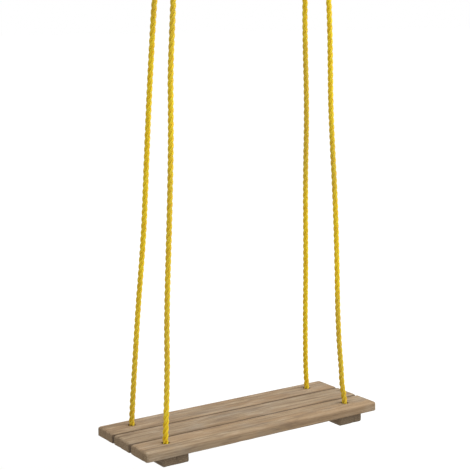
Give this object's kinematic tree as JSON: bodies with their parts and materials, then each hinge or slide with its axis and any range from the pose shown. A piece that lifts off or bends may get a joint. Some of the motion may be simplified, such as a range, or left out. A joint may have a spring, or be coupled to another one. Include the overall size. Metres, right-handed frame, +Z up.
{
  "type": "plank swing",
  "caption": "Slatted wooden swing seat on cross cleats, hung on both sides by laid rope with thimble eyes, rings and latched hooks under beam plates.",
  "frame": {"origin": "midway between the two hanger plates, on the underside of the beam that carries them", "axes": "+Z up, +X along the seat towards its right end, +Y to the rear of the seat"},
  "size_m": [0.6, 0.215, 1.2836],
  "materials": {
    "slat_wood": "weathered grey-brown sawn timber with fine lengthwise grain, unpainted",
    "cleat_wood": "weathered timber, a little darker than the slats",
    "rope": "golden yellow three-strand laid polypropylene, slightly fuzzy",
    "galvanised": "dull hot-dip galvanised steel",
    "ferrule_metal": "pressed aluminium, satin",
    "latch_steel": "bright zinc-plated spring steel",
    "zinc_screws": "zinc-plated screws"
  },
  "bodies": {
    "hangers": {"hanger_plate_left": "galvanised", "hanger_plate_right": "galvanised", "hook_left": "galvanised", "hook_right": "galvanised", "latch_pin_left": "latch_steel", "latch_pin_right": "latch_steel"},
    "seat": {"slat_front": "slat_wood", "slat_middle": "slat_wood", "slat_rear": "slat_wood", "cleat_left": "cleat_wood", "cleat_right": "cleat_wood", "slat_screws": "zinc_screws", "rope_left": "rope", "rope_right": "rope", "thimble_left_front": "galvanised", "thimble_left_rear": "galvanised", "thimble_right_front": "galvanised", "thimble_right_rear": "galvanised", "ferrule_left_front": "ferrule_metal", "ferrule_left_rear": "ferrule_metal", "ferrule_right_front": "ferrule_metal", "ferrule_right_rear": "ferrule_metal", "ring_left": "galvanised", "ring_right": "galvanised"},
    "latch_left": {"latch_left": "latch_steel", "latch_spring_left": "latch_steel"},
    "latch_right": {"latch_right": "latch_steel", "latch_spring_right": "latch_steel"}
  },
  "joints": [
    {"name": "swing", "type": "hinge", "parent": "hangers", "child": "seat", "pos_m": [0, 0, -0.07], "axis": [1, 0, 0], "range_deg": [-60, 60]},
    {"name": "latch_left_open", "type": "hinge", "parent": "hangers", "child": "latch_left", "pos_m": [-0.1731, 0, -0.019], "axis": [0, -1, 0], "range_deg": [0, 40], "stiffness_Nm_per_rad": 0.02, "springref_deg": -34.38},
    {"name": "latch_right_open", "type": "hinge", "parent": "hangers", "child": "latch_right", "pos_m": [0.1731, 0, -0.019], "axis": [0, 1, 0], "range_deg": [0, 40], "stiffness_Nm_per_rad": 0.02, "springref_deg": -34.38}
  ]
}
